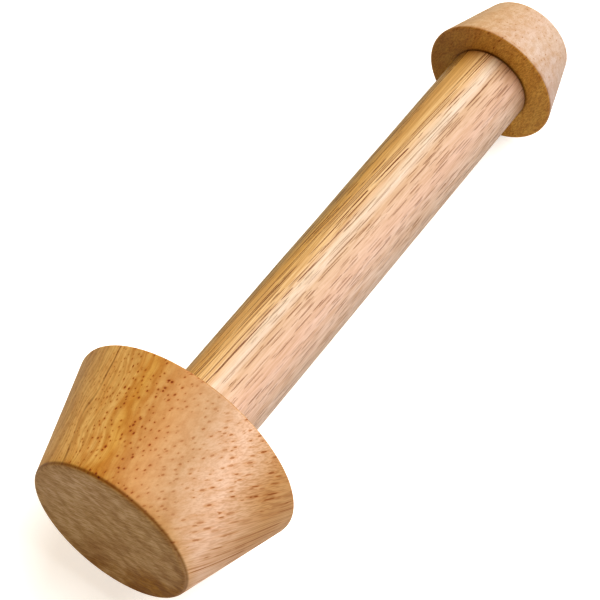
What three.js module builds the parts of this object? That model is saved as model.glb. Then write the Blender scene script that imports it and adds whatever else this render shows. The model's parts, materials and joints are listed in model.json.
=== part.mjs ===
// A double-ended wooden tamper, lying on a table.
//
// Three turned pieces stand in line: a large tapered head, a plain round handle and a small
// tapered head. Both heads widen towards the handle, so the tool lies on its two rims. The
// handle ends in a turned tenon that is glued into a blind mortise in each head.
//
// Units are millimetres and +Z is up. Along the tool, 0 is the large head's flat face and
// TOOL_LENGTH is the small head's flat face.
import * as THREE from 'three';

// The tool
const TOOL_LENGTH = 165;
const HANDLE_DIAMETER = 19.6;

// The large head
const LARGE_HEIGHT = 26.4;
const LARGE_FACE_DIAMETER = 37.6;
const LARGE_RIM_DIAMETER = 54.4;

// The small head
const SMALL_HEIGHT = 17.4;
const SMALL_FACE_DIAMETER = 22.4;
const SMALL_RIM_DIAMETER = 32.8;

// Sanded edges
const RIM_EDGE_RADIUS = 0.5;
const FACE_EDGE_RADIUS = 1.1;
const TENON_CHAMFER = 0.8;

// The glued joints
const TENON_DIAMETER = 12;
const LARGE_TENON_LENGTH = 18;
const SMALL_TENON_LENGTH = 11;
const GLUE_THICKNESS = 0.2;
const GLUE_CLEARANCE = 0.1;
const SHOULDER_GAP = 0.1;

// How finely round shapes are divided. A flat of every round shape faces straight down, so the
// tool rests on flats and not on corners.
const ROUND_SEGMENTS = 72;
const FIRST_CORNER = Math.PI / ROUND_SEGMENTS;
const EDGE_STEPS = 5;

const WOOD = {
  largeHead: 0xc49a6c,
  handle: 0xcda06a,
  smallHead: 0xd0a683,
};
const GLUE = 0xcdb98a;
const HEAD_ROUGHNESS = 0.6;
const HANDLE_ROUGHNESS = 0.55;
const GLUE_ROUGHNESS = 0.4;

// A head is described by its height and its two diameters.
const largeHead = {
  height: LARGE_HEIGHT,
  faceRadius: LARGE_FACE_DIAMETER / 2,
  rimRadius: LARGE_RIM_DIAMETER / 2,
};
const smallHead = {
  height: SMALL_HEIGHT,
  faceRadius: SMALL_FACE_DIAMETER / 2,
  rimRadius: SMALL_RIM_DIAMETER / 2,
};

// A point of a turned outline: its height along the turning axis and its radius.
function outlinePoint(height, radius) {
  return new THREE.Vector2(radius, height);
}

// The arc that rounds the corner between its two neighbours.
function roundedCorner(before, corner, after, radius) {
  const toBefore = before.clone().sub(corner).normalize();
  const toAfter = after.clone().sub(corner).normalize();
  const halfAngle = toBefore.angleTo(toAfter) / 2;
  const bisector = toBefore.clone().add(toAfter).normalize();
  const centre = corner.clone().addScaledVector(bisector, radius / Math.sin(halfAngle));
  const start = toBefore.multiplyScalar(radius / Math.tan(halfAngle)).add(corner).sub(centre);
  const end = toAfter.multiplyScalar(radius / Math.tan(halfAngle)).add(corner).sub(centre);
  const sweep = Math.atan2(start.cross(end), start.dot(end));
  const points = [];
  for (let step = 0; step <= EDGE_STEPS; step += 1) {
    const turned = start.clone().rotateAround(new THREE.Vector2(), sweep * step / EDGE_STEPS);
    points.push(turned.add(centre));
  }
  return points;
}

// One turned or moulded piece: its outline spun about its own Y axis.
function turnedPiece(name, outline, colour, roughness) {
  const geometry = new THREE.LatheGeometry(outline, ROUND_SEGMENTS, FIRST_CORNER);
  const material = new THREE.MeshStandardMaterial({ color: colour, roughness, metalness: 0 });
  const piece = new THREE.Mesh(geometry, material);
  piece.name = name;
  return piece;
}

// A tapered head with its face at height 0, its rim above, and a mortise open at the rim side.
function makeHead(name, head, tenonLength, colour) {
  const allowance = GLUE_THICKNESS + 2 * GLUE_CLEARANCE;
  const mortiseRadius = TENON_DIAMETER / 2 + allowance;
  const mortiseFloor = head.height - tenonLength - allowance;
  const faceCentre = outlinePoint(0, 0);
  const faceCorner = outlinePoint(0, head.faceRadius);
  const rimCorner = outlinePoint(head.height, head.rimRadius);
  const mortiseMouth = outlinePoint(head.height, mortiseRadius);
  const outline = [
    faceCentre,
    ...roundedCorner(faceCentre, faceCorner, rimCorner, FACE_EDGE_RADIUS),
    ...roundedCorner(faceCorner, rimCorner, mortiseMouth, RIM_EDGE_RADIUS),
    mortiseMouth,
    outlinePoint(mortiseFloor, mortiseRadius),
    outlinePoint(mortiseFloor, 0),
  ];
  return turnedPiece(name, outline, colour, HEAD_ROUGHNESS);
}

// The handle, from the tip of its large tenon at height 0 to the tip of its small tenon.
function makeHandle() {
  const gripStart = LARGE_TENON_LENGTH + SHOULDER_GAP;
  const gripEnd = LARGE_TENON_LENGTH + TOOL_LENGTH - LARGE_HEIGHT - SMALL_HEIGHT - SHOULDER_GAP;
  const total = gripEnd + SHOULDER_GAP + SMALL_TENON_LENGTH;
  const gripRadius = HANDLE_DIAMETER / 2;
  const tenonRadius = TENON_DIAMETER / 2;
  const outline = [
    outlinePoint(0, 0),
    outlinePoint(0, tenonRadius - TENON_CHAMFER),
    outlinePoint(TENON_CHAMFER, tenonRadius),
    outlinePoint(gripStart, tenonRadius),
    outlinePoint(gripStart, gripRadius),
    outlinePoint(gripEnd, gripRadius),
    outlinePoint(gripEnd, tenonRadius),
    outlinePoint(total - TENON_CHAMFER, tenonRadius),
    outlinePoint(total, tenonRadius - TENON_CHAMFER),
    outlinePoint(total, 0),
  ];
  return turnedPiece('handle', outline, WOOD.handle, HANDLE_ROUGHNESS);
}

// The cured glue between a tenon and its mortise: a thin cup, floor at height 0, open above.
function makeGlue(name, tenonLength) {
  const innerRadius = TENON_DIAMETER / 2 + GLUE_CLEARANCE;
  const outerRadius = innerRadius + GLUE_THICKNESS;
  const floorTop = GLUE_THICKNESS;
  const brim = floorTop + GLUE_CLEARANCE + tenonLength - SHOULDER_GAP;
  const outline = [
    outlinePoint(0, 0),
    outlinePoint(0, outerRadius),
    outlinePoint(brim, outerRadius),
    outlinePoint(brim, innerRadius),
    outlinePoint(floorTop, innerRadius),
    outlinePoint(floorTop, 0),
  ];
  return turnedPiece(name, outline, GLUE, GLUE_ROUGHNESS);
}

// Puts a turned piece in line with the tool's X axis, its height 0 at this distance.
// Pieces of the small end point the other way, with their height 0 towards +X.
function placeInLine(tool, piece, distance, fromSmallEnd = false) {
  piece.rotation.z = fromSmallEnd ? Math.PI / 2 : -Math.PI / 2;
  piece.position.x = distance;
  tool.add(piece);
}

function assembleTool() {
  const tool = new THREE.Group();
  const glueFloor = GLUE_THICKNESS + GLUE_CLEARANCE;
  const largeTenonTip = LARGE_HEIGHT - LARGE_TENON_LENGTH;
  const smallTenonTip = TOOL_LENGTH - SMALL_HEIGHT + SMALL_TENON_LENGTH;
  placeInLine(tool, makeHead('large_head', largeHead, LARGE_TENON_LENGTH, WOOD.largeHead), 0);
  placeInLine(tool, makeGlue('large_head_glue', LARGE_TENON_LENGTH), largeTenonTip - glueFloor);
  placeInLine(tool, makeHandle(), largeTenonTip);
  placeInLine(tool, makeGlue('small_head_glue', SMALL_TENON_LENGTH), smallTenonTip + glueFloor, true);
  placeInLine(
    tool,
    makeHead('small_head', smallHead, SMALL_TENON_LENGTH, WOOD.smallHead),
    TOOL_LENGTH,
    true,
  );
  return tool;
}

// The centre of a rim's rounded edge: its distance from the tool's axis.
function rimEdgeRadialPlace(head) {
  const taper = Math.atan2(head.rimRadius - head.faceRadius, head.height);
  return head.rimRadius - RIM_EDGE_RADIUS * (Math.tan(taper) + 1 / Math.cos(taper));
}

// How far the axis dips towards the small head when both rims touch the table.
function lyingTilt() {
  const flatDepth = Math.cos(FIRST_CORNER);
  const drop = flatDepth * (rimEdgeRadialPlace(largeHead) - rimEdgeRadialPlace(smallHead));
  const between = TOOL_LENGTH - LARGE_HEIGHT - SMALL_HEIGHT + 2 * RIM_EDGE_RADIUS;
  return Math.atan2(drop, between);
}

// Tilts the tool onto its rims and brings its box's bottom centre to the origin.
function layDown(tool) {
  tool.rotation.y = lyingTilt();
  const box = new THREE.Box3().setFromObject(tool, true);
  const centre = box.getCenter(new THREE.Vector3());
  tool.position.set(-centre.x, -centre.y, -box.min.z);
}

const tool = assembleTool();
layDown(tool);

const tamper = new THREE.Group();
tamper.add(tool);

export default tamper;
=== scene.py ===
"""The looks of a double-ended wooden tamper that lies on a table on its two rims.

Three turned pieces of pale rubberwood stand in line: a large head, a handle and a small head.
The wood is a solid pattern. Each piece's vessels run along its own grain, so they show as dots
where a surface cuts across the grain and as dashes where it runs along the grain.
"""
import json
from collections import namedtuple
from math import atan2, cos, pi, radians, sin, tan

import bmesh
import bpy
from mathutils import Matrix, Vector, noise


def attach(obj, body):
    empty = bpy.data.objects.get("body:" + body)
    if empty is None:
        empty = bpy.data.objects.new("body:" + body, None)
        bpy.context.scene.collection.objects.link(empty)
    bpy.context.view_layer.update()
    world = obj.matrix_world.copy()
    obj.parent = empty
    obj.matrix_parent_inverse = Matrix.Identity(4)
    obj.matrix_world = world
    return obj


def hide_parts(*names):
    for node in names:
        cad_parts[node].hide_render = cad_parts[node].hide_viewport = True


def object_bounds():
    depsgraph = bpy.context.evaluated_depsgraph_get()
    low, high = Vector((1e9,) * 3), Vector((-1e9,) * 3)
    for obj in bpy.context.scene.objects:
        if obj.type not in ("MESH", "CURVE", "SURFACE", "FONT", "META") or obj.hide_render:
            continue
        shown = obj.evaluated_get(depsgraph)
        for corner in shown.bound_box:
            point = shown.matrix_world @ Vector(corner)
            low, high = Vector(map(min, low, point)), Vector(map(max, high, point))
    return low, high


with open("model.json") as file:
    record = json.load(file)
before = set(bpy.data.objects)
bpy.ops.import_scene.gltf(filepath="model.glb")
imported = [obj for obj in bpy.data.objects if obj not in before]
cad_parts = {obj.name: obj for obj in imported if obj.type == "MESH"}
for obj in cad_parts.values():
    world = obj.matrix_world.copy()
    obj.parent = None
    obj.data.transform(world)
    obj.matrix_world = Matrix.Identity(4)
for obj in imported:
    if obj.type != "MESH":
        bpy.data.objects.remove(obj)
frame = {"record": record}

CAD_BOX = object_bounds()
MM = 0.001


# ---------------------------------------------------------------- the tool, from the frame

def mount_place(name):
    return Vector(next(m for m in frame["record"]["mounts"] if m["name"] == name)["pos_m"])


START = mount_place("large_face")
END = mount_place("small_face")
AXIS = (END - START).normalized()
SIDE = Vector((0, -1, 0))
UP = -AXIS.cross(SIDE).normalized()

# Lengths along the axis and radii of the sharp outline, in millimetres.
TOOL = (END - START).length / MM
LARGE_HEIGHT, LARGE_FACE, LARGE_RIM = 26.4, 18.8, 27.2
SMALL_HEIGHT, SMALL_FACE, SMALL_RIM = 17.4, 11.2, 16.4
GRIP_RADIUS = 9.8
TENON_RADIUS, LARGE_TENON, SMALL_TENON = 6.0, 18.0, 11.0
MORTISE_ROOM = 0.4
SHOULDER_GAP = 0.12
GRIP_START = LARGE_HEIGHT + SHOULDER_GAP
GRIP_END = TOOL - SMALL_HEIGHT - SHOULDER_GAP
SMALL_RIM_AT = TOOL - SMALL_HEIGHT

# Sanded edges, in millimetres.
RIM_EDGE, FACE_EDGE, SMALL_FACE_EDGE = 0.5, 1.1, 1.6
TENON_CHAMFER, SHOULDER_CHAMFER = 0.8, 0.15

# How finely the meshes are divided: round the axis, and in millimetres along the outline.
HEAD_SEGMENTS, HANDLE_SEGMENTS = 288, 192
HEAD_STEP, HANDLE_STEP = 0.7, 0.9
ARC_STEPS = 8
ON_AXIS = 1e-6

# What hand sanding leaves: the length and height of its waves, in millimetres. They fade out
# towards the axis, from this radius in.
BROAD_WAVE, BROAD_WAVE_HEIGHT = 14, 0.05
FINE_WAVE, FINE_WAVE_HEIGHT = 4, 0.015
FADE_RADIUS = 4


def beside_axis(height, radius, angle):
    """A point of the tool. Height and radius are in millimetres; angle 0 is up."""
    outwards = UP * cos(angle) + SIDE * sin(angle)
    return START + (AXIS * height + outwards * radius) * MM


def direction(along, up, side):
    """A direction given by its parts along the tool, upwards and to the side."""
    return (AXIS * along + UP * up + SIDE * side).normalized()


# ---------------------------------------------------------------- turned meshes

def rounded_corner(before, corner, after, radius):
    """The arc that rounds a corner of an outline."""
    to_before = (before - corner).normalized()
    to_after = (after - corner).normalized()
    half = to_before.angle(to_after) / 2
    centre = corner + (to_before + to_after).normalized() * (radius / sin(half))
    start = corner + to_before * (radius / tan(half)) - centre
    end = corner + to_after * (radius / tan(half)) - centre
    sweep = atan2(start.x * end.y - start.y * end.x, start.dot(end))
    arc = []
    for step in range(ARC_STEPS + 1):
        turn = sweep * step / ARC_STEPS
        arc.append(centre + Vector((start.x * cos(turn) - start.y * sin(turn),
                                    start.x * sin(turn) + start.y * cos(turn))))
    return arc


def closely_spaced(outline, step):
    """The same outline with points added, about one step apart."""
    spaced = [outline[0]]
    for here, there in zip(outline, outline[1:]):
        parts = max(1, round((there - here).length / step))
        spaced += [here.lerp(there, part / parts) for part in range(1, parts + 1)]
    return spaced


def unevenness(place, seed):
    """How far hand sanding left the surface from true here, in millimetres."""
    broad = noise.noise(place / (BROAD_WAVE * MM) + Vector((seed, 0, 0)))
    fine = noise.noise(place / (FINE_WAVE * MM) + Vector((0, seed, 0)))
    return BROAD_WAVE_HEIGHT * broad + FINE_WAVE_HEIGHT * fine


def ring_of_points(bm, height, radius, segments, seed):
    """One turn of a piece at this height, or a single point where it is on the axis."""
    ring = []
    for k in range(segments if radius > ON_AXIS else 1):
        angle = 2 * pi * k / segments
        place = beside_axis(height, radius, angle)
        stray = unevenness(place, seed) * min(1, radius / FADE_RADIUS)
        ring.append(bm.verts.new(beside_axis(height, radius + stray, angle)))
    return ring


def turned_piece(name, outline, segments, seed):
    """Spins an outline of (height, radius) points about the tool's axis."""
    bm = bmesh.new()
    rings = [ring_of_points(bm, height, radius, segments, seed) for height, radius in outline]
    for lower, upper in zip(rings, rings[1:]):
        for k in range(segments):
            quad = [lower[k % len(lower)], lower[(k + 1) % len(lower)],
                    upper[(k + 1) % len(upper)], upper[k % len(upper)]]
            corners = list(dict.fromkeys(quad))
            if len(corners) > 2:
                bm.faces.new(corners)
    bmesh.ops.recalc_face_normals(bm, faces=bm.faces)
    mesh = bpy.data.meshes.new(name)
    bm.to_mesh(mesh)
    bm.free()
    mesh.shade_smooth()
    piece = bpy.data.objects.new(name, mesh)
    bpy.context.collection.objects.link(piece)
    return piece


def make_head(name, face_at, rim_at, face_radius, rim_radius, face_edge, tenon, seed):
    """A tapered head between its flat face and its rim, with a mortise open at the rim."""
    inwards = 1 if rim_at > face_at else -1
    floor_at = rim_at - inwards * (tenon + MORTISE_ROOM)
    mortise = TENON_RADIUS + MORTISE_ROOM
    centre, face = Vector((face_at, 0)), Vector((face_at, face_radius))
    rim, mouth = Vector((rim_at, rim_radius)), Vector((rim_at, mortise))
    outline = [
        centre,
        *rounded_corner(centre, face, rim, face_edge),
        *rounded_corner(face, rim, mouth, RIM_EDGE),
        mouth,
        Vector((floor_at, mortise)),
        Vector((floor_at, 0)),
    ]
    return turned_piece(name, closely_spaced(outline, HEAD_STEP), HEAD_SEGMENTS, seed)


def make_handle(name, seed):
    """The round grip with a thinner tenon at each end."""
    first_tip = LARGE_HEIGHT - LARGE_TENON
    last_tip = SMALL_RIM_AT + SMALL_TENON
    outline = [
        Vector((first_tip, 0)),
        Vector((first_tip, TENON_RADIUS - TENON_CHAMFER)),
        Vector((first_tip + TENON_CHAMFER, TENON_RADIUS)),
        Vector((GRIP_START, TENON_RADIUS)),
        Vector((GRIP_START, GRIP_RADIUS - SHOULDER_CHAMFER)),
        Vector((GRIP_START + SHOULDER_CHAMFER, GRIP_RADIUS)),
        Vector((GRIP_END - SHOULDER_CHAMFER, GRIP_RADIUS)),
        Vector((GRIP_END, GRIP_RADIUS - SHOULDER_CHAMFER)),
        Vector((GRIP_END, TENON_RADIUS)),
        Vector((last_tip - TENON_CHAMFER, TENON_RADIUS)),
        Vector((last_tip, TENON_RADIUS - TENON_CHAMFER)),
        Vector((last_tip, 0)),
    ]
    return turned_piece(name, closely_spaced(outline, HANDLE_STEP), HANDLE_SEGMENTS, seed)


# ---------------------------------------------------------------- shader nodes

class Nodes:
    """Short ways to add nodes to one material or world."""

    def __init__(self, owner):
        owner.use_nodes = True
        self.tree = owner.node_tree
        self.tree.nodes.clear()

    def add(self, kind, **settings):
        node = self.tree.nodes.new("ShaderNode" + kind)
        for key, value in settings.items():
            setattr(node, key, value)
        return node

    def feed(self, socket, value):
        if isinstance(value, bpy.types.NodeSocket):
            self.tree.links.new(value, socket)
        else:
            socket.default_value = value

    def math(self, operation, *values, clamp=False):
        node = self.add("Math", operation=operation, use_clamp=clamp)
        for socket, value in zip(node.inputs, values):
            self.feed(socket, value)
        return node.outputs[0]

    def vector_math(self, operation, *values, result=0):
        node = self.add("VectorMath", operation=operation)
        for socket, value in zip(node.inputs, values):
            self.feed(socket, value)
        return node.outputs[result]

    def dot(self, place, along):
        return self.vector_math("DOT_PRODUCT", place, tuple(along), result=1)

    def combined(self, *values):
        node = self.add("CombineXYZ")
        for socket, value in zip(node.inputs, values):
            self.feed(socket, value)
        return node.outputs[0]

    def ramp(self, value, low, high, to_low=0.0, to_high=1.0):
        """A smooth step from to_low at low to to_high at high."""
        node = self.add("MapRange", interpolation_type="SMOOTHSTEP")
        for socket, number in zip(node.inputs, (value, low, high, to_low, to_high)):
            self.feed(socket, number)
        return node.outputs[0]

    def mix(self, amount, first, second, blend="MIX"):
        node = self.add("Mix", data_type="RGBA", blend_type=blend, clamp_factor=True)
        colours = [socket for socket in node.inputs if socket.type == "RGBA"]
        self.feed(node.inputs["Factor"], amount)
        self.feed(colours[0], first)
        self.feed(colours[1], second)
        return next(socket for socket in node.outputs if socket.type == "RGBA")

    def tint(self, amount, colour, multiplier):
        """The colour, multiplied by this red, green and blue where amount is 1."""
        return self.mix(amount, colour, (*multiplier, 1), blend="MULTIPLY")

    def noise(self, place, across, along, detail=2.0, roughness=0.5, output="Fac"):
        """Noise whose patches are this long along Z and this wide across it."""
        node = self.add("TexNoise")
        self.feed(node.inputs["Vector"], self.vector_math("DIVIDE", place, (across, across, along)))
        self.feed(node.inputs["Scale"], 1.0)
        self.feed(node.inputs["Detail"], detail)
        self.feed(node.inputs["Roughness"], roughness)
        return node.outputs[output]

    def bands(self, value, stops):
        """Colours that follow a value: stops are (value, colour) pairs, from low to high."""
        low, high = stops[0][0], stops[-1][0]
        node = self.add("ValToRGB")
        elements = node.color_ramp.elements
        elements[0].color = (*stops[0][1], 1)
        elements[-1].color = (*stops[-1][1], 1)
        for at, colour in stops[1:-1]:
            elements.new((at - low) / (high - low)).color = (*colour, 1)
        share = self.math("DIVIDE", self.math("SUBTRACT", value, low), high - low, clamp=True)
        self.feed(node.inputs[0], share)
        return node.outputs["Color"]

    def follow(self, value, stops):
        """A number that follows a value: stops are (value, number) pairs, or one number."""
        if isinstance(stops, (int, float)):
            return stops
        return self.bands(value, [(at, (number, number, number)) for at, number in stops])


# ---------------------------------------------------------------- procedural wood

# How grain and layers stray from straight, as the width and length of the noise in millimetres.
WANDER_WIDTH = 9
WAVER_WIDTH, WAVER_LENGTH = 2.5, 9
LAYER_WAVE_WIDTH, LAYER_WAVE_LENGTH = 8, 45

# Figures are patches of noise that darken the wood. The noise has a width, a length, a detail
# and a roughness, and the tint multiplies the colour where the patches are deepest. Ring lines
# and blotches lie in the layers: they are as wide and high as this many RING_REACH, and as thick
# as this many ring lines. The others lie along the grain and are in millimetres.
Figure = namedtuple("Figure", "noise tint")
RING = Figure((1, 1, 2.0, 0.6), (0.70, 0.56, 0.36))
BLOTCH = Figure((0.35, 3.2, 1.5, 0.5), (0.80, 0.60, 0.34))
GROWTH = Figure((1.5, 60, 1.5, 0.5), (0.80, 0.62, 0.40))
MOTTLE = Figure((1.5, 2.4, 2.0, 0.6), (0.78, 0.64, 0.46))
FIBRE = Figure((0.32, 14, 1.0, 0.6), (0.70, 0.56, 0.40))
THREAD = Figure((0.26, 4, 1.0, 0.6), (0.70, 0.56, 0.40))
RING_REACH = 18
FLAT_THREAD = 0.5

# Where in its noise a pattern begins and where it is at its full depth.
FIGURE_RAMP = 0.4, 0.64
GAP_RAMP = 0.4, 0.55
CROWD_RAMP = 0.35, 0.6
CLOUD_RAMP = 0.38, 0.64

# Streaks that fade in and out along themselves: the size of the gaps and their least depth.
GAP_SIZE, GAP_DEPTH = 7, 0.2

# Vessels. Each has its own bore and darkness, from the least up over a range. Whether it is open
# depends on its own rank and on how it fills up along its length. They come in long crowds.
LEAST_BORE, BORE_RANGE = 0.6, 0.7
LEAST_DARKNESS, DARKNESS_RANGE = 0.5, 0.5
OWN_RANK, FILLING_RANK = 0.4, 0.6
FILLING_WIDTH = 0.8
OPEN_RAMP = -0.03, 0.05
CROWD_LENGTH = 60

# Fine vessels lie between the large ones, and a halo of stain lies round the large ones.
FINE_SIZE, FINE_SHARE, FINE_BLUR = 0.5, 0.5, 0.03
HALO_WIDTH, HALO_BLUR = 2, 0.2
HALO_TINT, FINE_TINT = (0.84, 0.60, 0.30), (0.60, 0.42, 0.24)
SANDED_FULL = 0.85

# How much fibres, threads and open vessels change the roughness and the height of the surface.
FIBRE_ROUGHNESS, PORE_ROUGHNESS = 0.16, 0.25
FIBRE_RELIEF, THREAD_RELIEF, LARGE_RELIEF, FINE_RELIEF = 0.25, 0.2, 1.2, 0.4
RELIEF_HEIGHT = 0.08

# A flat's own colours fade out between these distances from it, in millimetres.
FACE_FADE = 0.1, 0.4
FLAT_FADE = 0.12, 0.3

# The flat faces: the way their layers run and how these stray, and clouds, as the way they run,
# their width, length and depth.
FACE_ACROSS = direction(0, -0.75, 0.66)
FACE_WAVE_SIZE, FACE_WAVE_DETAIL, FACE_WAVE = 7, 3.0, 24
FACE_CLOUDS = ((direction(0, -0.5, 0.85), 3.0, 6.5, 0.9),
               (direction(0, -0.5, 0.85), 1.0, 2.0, 0.22),
               (direction(0, 0.3, 0.95), 0.32, 2.0, 1.0))
CLOUD_OFFSET = (3, 8, 1)
CLOUD_TINT = (0.76, 0.66, 0.48)

# Cured glue: the size and detail of its ripples, its two colours and its roughness.
GLUE_RIPPLE, GLUE_DETAIL, GLUE_HEIGHT = 1.5, 3.0, 0.1
GLUE_COLOURS = (0.67, 0.51, 0.23, 1), (0.43, 0.26, 0.09, 1)
GLUE_RAMP, GLUE_ROUGHNESS = (0.3, 0.7), (0.25, 0.45)


def wander(nodes, place, width, length, amount):
    """The same place, moved across the grain as the grain itself wanders."""
    sway = nodes.noise(place, width, length, 1.5, output="Color")
    return nodes.vector_math("MULTIPLY_ADD", sway, (amount, amount, 0), place)


def grain_space(nodes, place, grain, offset):
    """Millimetres, with Z along the grain and Y as near to the tool's side as can be."""
    over = SIDE.cross(grain).normalized()
    ways = (over, grain.cross(over), grain)
    return nodes.combined(*(nodes.math("ADD", nodes.dot(place, way), start)
                            for way, start in zip(ways, offset)))


class Spot:
    """Where a point of the wood is, in millimetres, in the tool, in the grain and in the log."""

    def __init__(self, nodes, look):
        position = nodes.add("TexCoord").outputs["Object"]
        from_start = nodes.vector_math("SUBTRACT", position, tuple(START))
        self.tool = nodes.vector_math("DIVIDE", from_start, (MM, MM, MM))
        self.height = nodes.dot(self.tool, AXIS)
        self.raised = nodes.dot(self.tool, UP)
        across = nodes.dot(self.tool, SIDE)
        squares = nodes.math("MULTIPLY", self.raised, self.raised)
        self.radius = nodes.math("SQRT", nodes.math("MULTIPLY_ADD", across, across, squares))

        straight = grain_space(nodes, self.tool, look["grain"], look["offset"])
        bent = wander(nodes, straight, WANDER_WIDTH, look["wander_length"], look["wander"])
        self.grain = wander(nodes, bent, WAVER_WIDTH, WAVER_LENGTH, look["waver"])

        wave = nodes.noise(self.grain, LAYER_WAVE_WIDTH, LAYER_WAVE_LENGTH, 1.0)
        stray = nodes.math("MULTIPLY_ADD", wave, look["wave"], -look["wave"] / 2)
        flat_layer = nodes.dot(self.tool, SIDE + AXIS * look["slant"])
        self.layer = nodes.math("ADD", flat_layer, stray)


def vessels(nodes, place, look, share, blur, size=1, widen=1):
    """Pores cut open by the surface, 1 inside and 0 outside. Blur is in millimetres.

    Each vessel is a long tube along the grain. It fills up and empties again every so often, and
    the share decides how many of them are open.
    """
    spacing, radius = look["spacing"] * size, look["pore"] * size * widen
    cells = nodes.add("TexVoronoi", feature="F1", voronoi_dimensions="2D")
    nodes.feed(cells.inputs["Vector"],
               nodes.vector_math("DIVIDE", place, (spacing, spacing, spacing)))
    nodes.feed(cells.inputs["Scale"], 1.0)
    own = nodes.add("SeparateColor")
    nodes.feed(own.inputs[0], cells.outputs["Color"])
    own_bore, own_order, own_darkness = own.outputs

    away = nodes.math("MULTIPLY", cells.outputs["Distance"], spacing)
    bore = nodes.math("MULTIPLY_ADD", own_bore, radius * BORE_RANGE, radius * LEAST_BORE)
    inside = nodes.ramp(nodes.math("SUBTRACT", bore, away), -blur, blur)
    filled = nodes.noise(place, spacing * FILLING_WIDTH, look["pore_length"], 1.0)
    rank = nodes.math("MULTIPLY_ADD", own_order, OWN_RANK,
                      nodes.math("MULTIPLY", filled, FILLING_RANK))
    open_here = nodes.ramp(nodes.math("SUBTRACT", share, rank), *OPEN_RAMP)
    darkness = nodes.math("MULTIPLY_ADD", own_darkness, DARKNESS_RANGE, LEAST_DARKNESS)
    return nodes.math("MULTIPLY", nodes.math("MULTIPLY", inside, darkness), open_here)


def near_plane(nodes, height, plane, fade):
    """1 on a flat across the tool, falling to 0 between these two distances from it."""
    off = nodes.math("ABSOLUTE", nodes.math("SUBTRACT", height, plane))
    return nodes.ramp(off, *fade, 1, 0)


def near_edge(nodes, spot, edge, reach):
    """1 on a turned edge, falling to 0 within reach millimetres of it."""
    rise = nodes.math("SUBTRACT", spot.height, edge[0])
    out = nodes.math("SUBTRACT", spot.radius, edge[1])
    squares = nodes.math("MULTIPLY_ADD", rise, rise, nodes.math("MULTIPLY", out, out))
    return nodes.ramp(nodes.math("SQRT", squares), 0, reach, 1, 0)


def add_figures(nodes, spot, look, colour, on_flat, fibre, thread):
    """Ring lines and blotches in the layers; growth, mottle, fibres and threads in the grain."""
    rings = nodes.combined(nodes.math("DIVIDE", spot.raised, RING_REACH),
                           nodes.math("DIVIDE", spot.height, RING_REACH),
                           nodes.math("DIVIDE", spot.layer, look["ring"]))
    thread_depth = nodes.math("MULTIPLY_ADD", on_flat, FLAT_THREAD, look["thread"])
    figures = ((nodes.noise(rings, *RING.noise), nodes.follow(spot.layer, look["rings"]), RING),
               (nodes.noise(rings, *BLOTCH.noise), nodes.follow(spot.layer, look["blotches"]),
                BLOTCH),
               (nodes.noise(spot.grain, *GROWTH.noise), look["growth"], GROWTH),
               (nodes.noise(spot.grain, *MOTTLE.noise), look["mottle"], MOTTLE),
               (fibre, nodes.follow(spot.layer, look["fibres"]), FIBRE),
               (thread, thread_depth, THREAD))
    for patches, depth, figure in figures:
        amount = nodes.math("MULTIPLY", nodes.ramp(patches, *FIGURE_RAMP), depth)
        colour = nodes.tint(amount, colour, figure.tint)
    return colour


def add_streaks(nodes, spot, look, colour):
    """Single broken streaks in the layers. A tint above 1 lightens the wood: a painted highlight.
    """
    for middle, width, amount, tint in look["streaks"]:
        off = nodes.math("ABSOLUTE", nodes.math("SUBTRACT", spot.layer, middle))
        gaps = nodes.noise(spot.tool, GAP_SIZE, GAP_SIZE, 1.0)
        broken = nodes.ramp(gaps, *GAP_RAMP, GAP_DEPTH, amount)
        inside = nodes.ramp(off, 0, width, 1, 0)
        colour = nodes.tint(nodes.math("MULTIPLY", inside, broken), colour, tint)
    return colour


def add_pores(nodes, spot, look, colour, face, large, fine, share):
    """The vessels' marks, deeper in some layers than in others, and sanded full on a face."""
    halo = vessels(nodes, spot.grain, look, share, HALO_BLUR, widen=HALO_WIDTH)
    shown = nodes.math("MULTIPLY", nodes.follow(spot.layer, look["pores"]),
                       nodes.math("MULTIPLY_ADD", face, -SANDED_FULL, 1))
    for marks, depth, tint in ((halo, look["stain"], HALO_TINT),
                               (fine, look["fine_depth"], FINE_TINT),
                               (large, look["pore_depth"], look["pore_tint"])):
        amount = nodes.math("MULTIPLY", nodes.math("MULTIPLY", marks, depth), shown)
        colour = nodes.tint(amount, colour, tint)
    return colour


def add_face(nodes, spot, look, colour, face):
    """The cloudy wood of a flat face."""
    wave = nodes.noise(spot.tool, FACE_WAVE_SIZE, FACE_WAVE_SIZE, FACE_WAVE_DETAIL)
    stray = nodes.math("MULTIPLY_ADD", wave, FACE_WAVE, -FACE_WAVE / 2)
    layer = nodes.math("ADD", nodes.dot(spot.tool, FACE_ACROSS), stray)
    colour = nodes.mix(face, colour, nodes.bands(layer, look["face_layers"]))
    for run, width, length, amount in FACE_CLOUDS:
        place = grain_space(nodes, spot.tool, run, CLOUD_OFFSET)
        clouds = nodes.noise(place, width, length)
        depth = nodes.ramp(clouds, *CLOUD_RAMP, 0, amount * look["clouds"])
        colour = nodes.tint(nodes.math("MULTIPLY", depth, face), colour, CLOUD_TINT)
    return colour


def add_edges(nodes, spot, look, colour):
    """Turned edges that differ in colour from the wood beside them; some of these tints are painted
    shade.
    """
    for edge, reach, amount, tint in look["edges"]:
        close = nodes.math("MULTIPLY", near_edge(nodes, spot, edge, reach), amount)
        colour = nodes.tint(close, colour, tint)
    return colour


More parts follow.
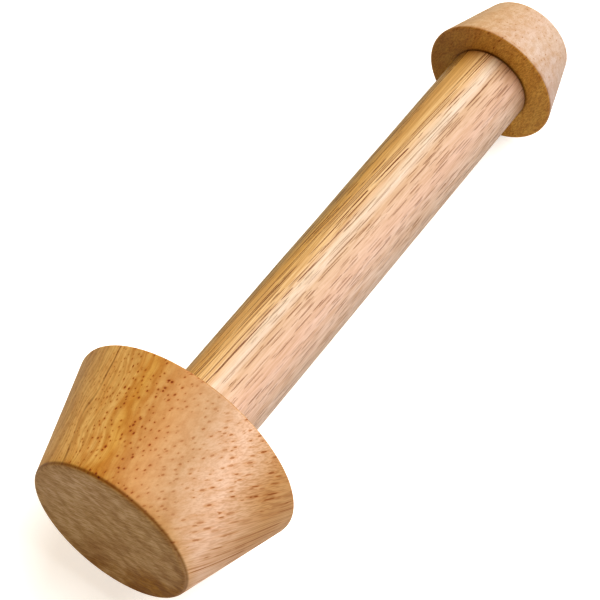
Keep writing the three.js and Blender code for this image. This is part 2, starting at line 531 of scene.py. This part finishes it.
def wood_surface(nodes, look, colour, fibre, thread, large, fine):
    """A sanded surface: fibres stand up and open pores are hollow and rougher."""
    shader = nodes.add("BsdfPrincipled")
    nodes.feed(shader.inputs["Base Color"], colour)
    rough = nodes.math("MULTIPLY_ADD", fibre, FIBRE_ROUGHNESS,
                       look["roughness"] - FIBRE_ROUGHNESS / 2)
    rough = nodes.math("MULTIPLY_ADD", large, PORE_ROUGHNESS, rough, clamp=True)
    nodes.feed(shader.inputs["Roughness"], rough)

    relief = nodes.math("MULTIPLY_ADD", fibre, FIBRE_RELIEF,
                        nodes.math("MULTIPLY", thread, THREAD_RELIEF))
    relief = nodes.math("SUBTRACT", relief, nodes.math("MULTIPLY", large, LARGE_RELIEF))
    relief = nodes.math("SUBTRACT", relief, nodes.math("MULTIPLY", fine, FINE_RELIEF))
    bump = nodes.add("Bump")
    nodes.feed(bump.inputs["Strength"], look["relief"])
    nodes.feed(bump.inputs["Distance"], RELIEF_HEIGHT * MM)
    nodes.feed(bump.inputs["Height"], relief)
    nodes.feed(shader.inputs["Normal"], bump.outputs["Normal"])
    nodes.feed(nodes.add("OutputMaterial").inputs["Surface"], shader.outputs["BSDF"])


def wood(name, look):
    """Rubberwood, cut from the log its own way. The look says what differs from piece to piece."""
    material = bpy.data.materials.new(name)
    nodes = Nodes(material)
    spot = Spot(nodes, look)
    # The layer colours hold painted light and shade as well as the wood's own tone.
    colour = nodes.bands(spot.layer, look["layers"])
    on_flat, face = 0.0, 0.0
    if "flat" in look:
        plane, layers = look["flat"]
        on_flat = near_plane(nodes, spot.height, plane, FLAT_FADE)
        colour = nodes.mix(on_flat, colour, nodes.bands(spot.layer, layers))

    fibre = nodes.noise(spot.grain, *FIBRE.noise)
    thread = nodes.noise(spot.grain, *THREAD.noise)
    colour = add_figures(nodes, spot, look, colour, on_flat, fibre, thread)
    colour = add_streaks(nodes, spot, look, colour)

    crowd = nodes.noise(spot.grain, look["crowd"], CROWD_LENGTH)
    share = nodes.ramp(crowd, *CROWD_RAMP, *look["share"])
    large = vessels(nodes, spot.grain, look, share, look["pore_blur"])
    fine = vessels(nodes, spot.grain, look, FINE_SHARE, FINE_BLUR, size=FINE_SIZE)
    if "face" in look:
        face = near_plane(nodes, spot.height, look["face"], FACE_FADE)
    colour = add_pores(nodes, spot, look, colour, face, large, fine, share)
    if "face" in look:
        colour = add_face(nodes, spot, look, colour, face)
    colour = add_edges(nodes, spot, look, colour)
    wood_surface(nodes, look, colour, fibre, thread, large, fine)
    return material


def glue_material():
    """Cured wood glue with shallow ripples."""
    material = bpy.data.materials.new("cured_glue")
    nodes = Nodes(material)
    position = nodes.add("TexCoord").outputs["Object"]
    place = nodes.vector_math("DIVIDE", position, (MM, MM, MM))
    ripples = nodes.noise(place, GLUE_RIPPLE, GLUE_RIPPLE, GLUE_DETAIL)
    shader = nodes.add("BsdfPrincipled")
    nodes.feed(shader.inputs["Base Color"], nodes.mix(ripples, *GLUE_COLOURS))
    nodes.feed(shader.inputs["Roughness"], nodes.ramp(ripples, *GLUE_RAMP, *GLUE_ROUGHNESS))
    bump = nodes.add("Bump")
    nodes.feed(bump.inputs["Distance"], GLUE_HEIGHT * MM)
    nodes.feed(bump.inputs["Height"], ripples)
    nodes.feed(shader.inputs["Normal"], bump.outputs["Normal"])
    nodes.feed(nodes.add("OutputMaterial").inputs["Surface"], shader.outputs["BSDF"])
    return material


# ---------------------------------------------------------------- the looks of the three woods

# Colours are linear red, green and blue, and lengths are in millimetres.
# - grain and offset: the way the grain runs, and where in the noise the piece is cut.
# - wander, waver and wave: how far grain and layers stray; wander_length: how slowly.
# - layers: (place across the tool towards -Y, colour), with painted light and shade in them; slant:
#   how far they lean along the tool.
# - rings, blotches, fibres and pores: (layer, depth) pairs, or one depth for all layers.
# - growth, mottle and thread: depths; ring: how thick a ring line is; relief: of the surface.
# - spacing, pore and pore_length: how far apart, wide and long the vessels are; crowd: how wide
#   their crowds are; share: how many are open outside a crowd and in one.
# - stain, fine_depth and pore_depth: how dark the halos, the fine and the large vessels are.
# - streaks: (layer, half width, depth, tint); a tint above 1 paints a highlight.
# - face and flat: the height of the working face and of the rim's flat, with their own layers;
#   clouds: how cloudy the face is.
# - edges: ((height, radius), reach, depth, tint); some of them are painted shade.
LARGE_LOOK = {
    "grain": direction(-0.86, 0.42, -0.29), "offset": (31, 12, 5),
    "wander_length": 30, "wander": 2.0, "waver": 0.3, "wave": 3.5, "slant": 0.15,
    # These layer colours hold painted light as well as the wood's tone: deep golden towards +Y for
    # painted shade on that side, paler and pinker towards -Y for a painted lit side, and darker
    # again at the far -Y edge for painted shade near the floor.
    "layers": [(-24, (0.61, 0.36, 0.06)), (-12, (0.9, 0.61, 0.25)), (-7, (0.83, 0.56, 0.24)),
               (-3, (0.73, 0.44, 0.13)), (1, (0.67, 0.4, 0.17)), (5, (0.68, 0.4, 0.19)),
               (12, (0.64, 0.42, 0.26)), (20, (0.87, 0.64, 0.53)), (27, (0.64, 0.39, 0.19))],
    "growth": 0.3, "mottle": 0.06, "thread": 0.05, "relief": 0.25,
    "ring": 0.45, "rings": [(-27, 0.6), (-9, 0.6), (-4, 0.35), (2, 0.1), (27, 0.0)],
    "blotches": [(-24, 0.15), (-12, 0.2), (-8, 0.65), (0, 0.6), (5, 0.1), (27, 0.1)],
    "fibres": [(-24, 0.15), (-4, 0.1), (6, 0.1), (14, 0.2), (20, 0.42), (27, 0.6)],
    "spacing": 1.15, "pore": 0.16, "pore_length": 2.5, "pore_blur": 0.04,
    "crowd": 5, "share": (0.43, 0.83),
    "pores": [(-24, 0.35), (-14, 0.3), (-9, 0.7), (-6, 1.0), (3, 1.0), (7, 0.5), (12, 0.45),
              (20, 0.75), (27, 0.8)],
    "pore_tint": (0.5, 0.25, 0.04), "stain": 0.65, "fine_depth": 0.3, "pore_depth": 1.0,
    "streaks": [(-11.5, 0.35, 0.9, (0.55, 0.42, 0.25))],
    "face": 0, "clouds": 1.0,
    "face_layers": [(-18, (0.7, 0.52, 0.35)), (0, (0.65, 0.47, 0.27)), (9, (0.62, 0.43, 0.24)),
                    (16, (0.46, 0.24, 0.02))],
    "flat": (LARGE_HEIGHT, [(-27, (0.56, 0.3, 0.07)), (27, (0.6, 0.4, 0.19))]),
    "edges": [((0.6, LARGE_FACE), 0.6, 1.0, (0.4, 0.3, 0.08)),
              ((0.6, LARGE_FACE), 3.5, 0.5, (0.78, 0.66, 0.3)),
              # The last tint darkens the rim's rounded edge: painted shade over the line where the
              # light catches it.
              ((LARGE_HEIGHT, LARGE_RIM), 1.0, 0.7, (0.7, 0.55, 0.35))],
    "roughness": 0.5,
}
HANDLE_LOOK = {
    "grain": direction(1, 0.02, 0.045), "offset": (14, 48, 0),
    "wander_length": 45, "wander": 1.0, "waver": 0.12, "wave": 3, "slant": 0,
    # These layer colours hold painted light as well as the wood's tone: dark brown at the +Y edge
    # for painted shade on that side, a pale cream band along the top that is partly a streak in the
    # wood and partly a painted highlight, and paler, pinker wood towards -Y for a painted lit side.
    "layers": [(-9.8, (0.39, 0.28, 0.07)), (-6, (0.74, 0.47, 0.16)), (-2, (0.89, 0.67, 0.43)),
               (-0.6, (0.79, 0.59, 0.44)), (0.1, (0.79, 0.65, 0.53)),
               (1.2, (0.74, 0.59, 0.49)), (2.6, (0.62, 0.42, 0.28)), (7, (0.73, 0.53, 0.45)),
               (9.8, (0.68, 0.53, 0.46))],
    "growth": 0.2, "mottle": 0.0, "thread": 0.15, "relief": 0.6,
    "ring": 0.3, "rings": [(-9.8, 0.5), (-1, 0.5), (0.5, 0.2), (2, 0.15), (9.8, 0.2)],
    "blotches": 0.0,
    "fibres": [(-9.8, 0.25), (0, 0.2), (2, 0.12), (5, 0.2), (9.8, 0.45)],
    "spacing": 0.45, "pore": 0.115, "pore_length": 4, "pore_blur": 0.015,
    "crowd": 2.5, "share": (0.5, 0.72),
    "pores": [(-9.8, 1.0), (-0.6, 1.0), (0.3, 0.5), (1.2, 0.3), (2.2, 0.65), (4.5, 0.5),
              (9.8, 0.5)],
    "pore_tint": (0.24, 0.09, 0.02), "stain": 0.0, "fine_depth": 0.6, "pore_depth": 1.0,
    "streaks": [],
    # Dark rings where the grip meets each head: partly the joint's own dark line, partly painted
    # shade between the parts.
    "edges": [((GRIP_START, GRIP_RADIUS), 0.5, 0.8, (0.35, 0.25, 0.15)),
              ((GRIP_END, GRIP_RADIUS), 0.5, 0.8, (0.35, 0.25, 0.15))],
    "roughness": 0.45,
}
SMALL_LOOK = {
    "grain": direction(0.3, 0.86, 0.4), "offset": (55, 21, 9),
    "wander_length": 30, "wander": 1.6, "waver": 0.25, "wave": 4, "slant": 0,
    # These layer colours hold painted light as well as the wood's tone: darker and browner towards
    # +Y for painted shade, paler and pinker towards -Y for a painted lit side.
    "layers": [(-16, (0.52, 0.33, 0.12)), (-6, (0.68, 0.48, 0.31)), (4, (0.65, 0.5, 0.43)),
               (8, (0.64, 0.51, 0.45)), (16, (0.53, 0.41, 0.39))],
    "growth": 0.35, "mottle": 0.12, "thread": 0.15, "relief": 0.3,
    "ring": 0.5, "rings": 0.15,
    "blotches": [(-16, 0.1), (16, 0.2)],
    "fibres": 0.25,
    "spacing": 1.3, "pore": 0.13, "pore_length": 5, "pore_blur": 0.04,
    "crowd": 5, "share": (0.3, 0.54),
    "pores": 1.0,
    "pore_tint": (0.5, 0.26, 0.07), "stain": 0.3, "fine_depth": 0.5, "pore_depth": 0.6,
    # The first streak lightens and cools the wood: a painted highlight along the lit side of the
    # cone. The second is an orange streak in the wood.
    "streaks": [(8.5, 0.9, 0.9, (1.08, 1.12, 1.2)), (10.2, 0.8, 0.7, (0.92, 0.82, 0.68))],
    "face": TOOL, "clouds": 0.4,
    "face_layers": [(-18, (0.64, 0.48, 0.36)), (18, (0.58, 0.42, 0.29))],
    # The rim flat's colours are darker towards +Y: painted shade beside the handle on top of the
    # flat's own brown.
    "flat": (SMALL_RIM_AT, [(-16, (0.6, 0.36, 0.06)), (0, (0.8, 0.53, 0.17)),
                            (6, (0.9, 0.63, 0.2)), (16, (0.82, 0.56, 0.16))]),
    "edges": [((SMALL_RIM_AT, SMALL_RIM), 0.5, 1.0, (0.66, 0.4, 0.14)),
              ((SMALL_RIM_AT, SMALL_RIM), 1.8, 0.45, (0.92, 0.74, 0.48)),
              # The last tint is a dark ring on the rim's flat round the handle: partly the joint's
              # own dark line, partly painted shade between the parts.
              ((SMALL_RIM_AT, GRIP_RADIUS), 0.6, 0.6, (0.45, 0.35, 0.2))],
    "roughness": 0.48,
}


# ---------------------------------------------------------------- the pieces

def finish_piece(piece, node, material):
    piece.data.materials.append(material)
    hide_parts(node)
    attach(piece, "root")


def make_tool():
    large = make_head("turned_large_head", 0, LARGE_HEIGHT, LARGE_FACE, LARGE_RIM,
                      FACE_EDGE, LARGE_TENON, seed=3)
    small = make_head("turned_small_head", TOOL, SMALL_RIM_AT, SMALL_FACE, SMALL_RIM,
                      SMALL_FACE_EDGE, SMALL_TENON, seed=11)
    handle = make_handle("turned_handle", seed=7)
    finish_piece(large, "large_head",
                 wood("large_head_rubberwood", LARGE_LOOK))
    finish_piece(handle, "handle", wood("handle_rubberwood", HANDLE_LOOK))
    finish_piece(small, "small_head",
                 wood("small_head_rubberwood", SMALL_LOOK))
    glue = glue_material()
    for node in ("large_head_glue", "small_head_glue"):
        for slot in bpy.data.objects[node].material_slots:
            slot.material = glue


# ---------------------------------------------------------------- camera, light and floor

# The camera's angles are in degrees, and its aim is off the middle of the box, in millimetres.
CAMERA_AZIMUTH, CAMERA_ELEVATION = -55.87, 58.64
CAMERA_DISTANCE = 0.46425
CAMERA_LENS = 128.5
AIM_RIGHT, AIM_UP = -7.72, -10.15

FLOOR_SIZE = 40
FLOOR_SQUARES = 8
FLOOR_GAP = 0.02
FLOOR_COLOUR = (0.8, 0.8, 0.8, 1)
FLOOR_LIFT = 0.45


def seen_from(azimuth, elevation):
    """The direction from the object to a place at these angles in degrees; azimuth 0 is -Y."""
    turn, rise = radians(azimuth), radians(elevation)
    return Vector((sin(turn) * cos(rise), -cos(turn) * cos(rise), sin(rise)))


def place_looking(name, data, back):
    """An object whose -Z points away from the direction back."""
    thing = bpy.data.objects.new(name, data)
    thing.rotation_mode = "QUATERNION"
    thing.rotation_quaternion = (-back).to_track_quat("-Z", "Y")
    bpy.context.collection.objects.link(thing)
    return thing


def make_camera():
    """Looks at a point a little beside the middle of the tool's box, without roll."""
    low, high = CAD_BOX
    back = seen_from(CAMERA_AZIMUTH, CAMERA_ELEVATION)
    turn = radians(CAMERA_AZIMUTH)
    right = Vector((cos(turn), sin(turn), 0))
    aim = (low + high) / 2 + (right * AIM_RIGHT + back.cross(right) * AIM_UP) * MM
    data = bpy.data.cameras.new("camera")
    data.lens = CAMERA_LENS
    camera = place_looking("camera", data, back)
    camera.location = aim + back * CAMERA_DISTANCE
    bpy.context.scene.camera = camera


def make_sun(name, azimuth, elevation, strength, colour, softness):
    """A soft light that comes from this compass direction and height, in degrees."""
    data = bpy.data.lights.new(name, "SUN")
    data.energy = strength
    data.color = colour
    data.angle = radians(softness)
    place_looking(name, data, seen_from(azimuth, elevation))


def make_world(ambient, backdrop):
    """Dim warm light all round, in front of a plain white backdrop."""
    world = bpy.data.worlds.new("studio")
    nodes = Nodes(world)
    dim, white, mixed = nodes.add("Background"), nodes.add("Background"), nodes.add("MixShader")
    nodes.feed(dim.inputs["Color"], ambient)
    nodes.feed(white.inputs["Color"], backdrop)
    nodes.feed(mixed.inputs[0], nodes.add("LightPath").outputs["Is Camera Ray"])
    nodes.feed(mixed.inputs[1], dim.outputs[0])
    nodes.feed(mixed.inputs[2], white.outputs[0])
    nodes.feed(nodes.add("OutputWorld").inputs["Surface"], mixed.outputs[0])
    bpy.context.scene.world = world


def make_floor():
    """A plain pale floor. The camera sees it brighter than it is lit, so shadows stay faint."""
    bm = bmesh.new()
    bmesh.ops.create_grid(bm, x_segments=FLOOR_SQUARES, y_segments=FLOOR_SQUARES,
                          size=FLOOR_SIZE)
    mesh = bpy.data.meshes.new("floor")
    bm.to_mesh(mesh)
    bm.free()
    floor = bpy.data.objects.new("floor", mesh)
    floor.location.z = CAD_BOX[0].z - FLOOR_GAP * MM
    bpy.context.collection.objects.link(floor)
    material = bpy.data.materials.new("pale_floor")
    nodes = Nodes(material)
    pale, lift, both = nodes.add("BsdfDiffuse"), nodes.add("Emission"), nodes.add("AddShader")
    seen = nodes.add("LightPath").outputs["Is Camera Ray"]
    nodes.feed(pale.inputs["Color"], FLOOR_COLOUR)
    nodes.feed(lift.inputs["Strength"], nodes.math("MULTIPLY", seen, FLOOR_LIFT))
    nodes.feed(both.inputs[0], pale.outputs[0])
    nodes.feed(both.inputs[1], lift.outputs[0])
    nodes.feed(nodes.add("OutputMaterial").inputs["Surface"], both.outputs[0])
    mesh.materials.append(material)


make_camera()
make_tool()
make_floor()
make_sun("key", azimuth=58, elevation=57, strength=2.75, colour=(0.93, 0.98, 1), softness=60)
make_world(ambient=(0.22, 0.155, 0.07, 1), backdrop=(1, 1, 1, 1))
bpy.context.scene.view_settings.view_transform = "Standard"
bpy.context.scene.view_settings.look = "High Contrast"
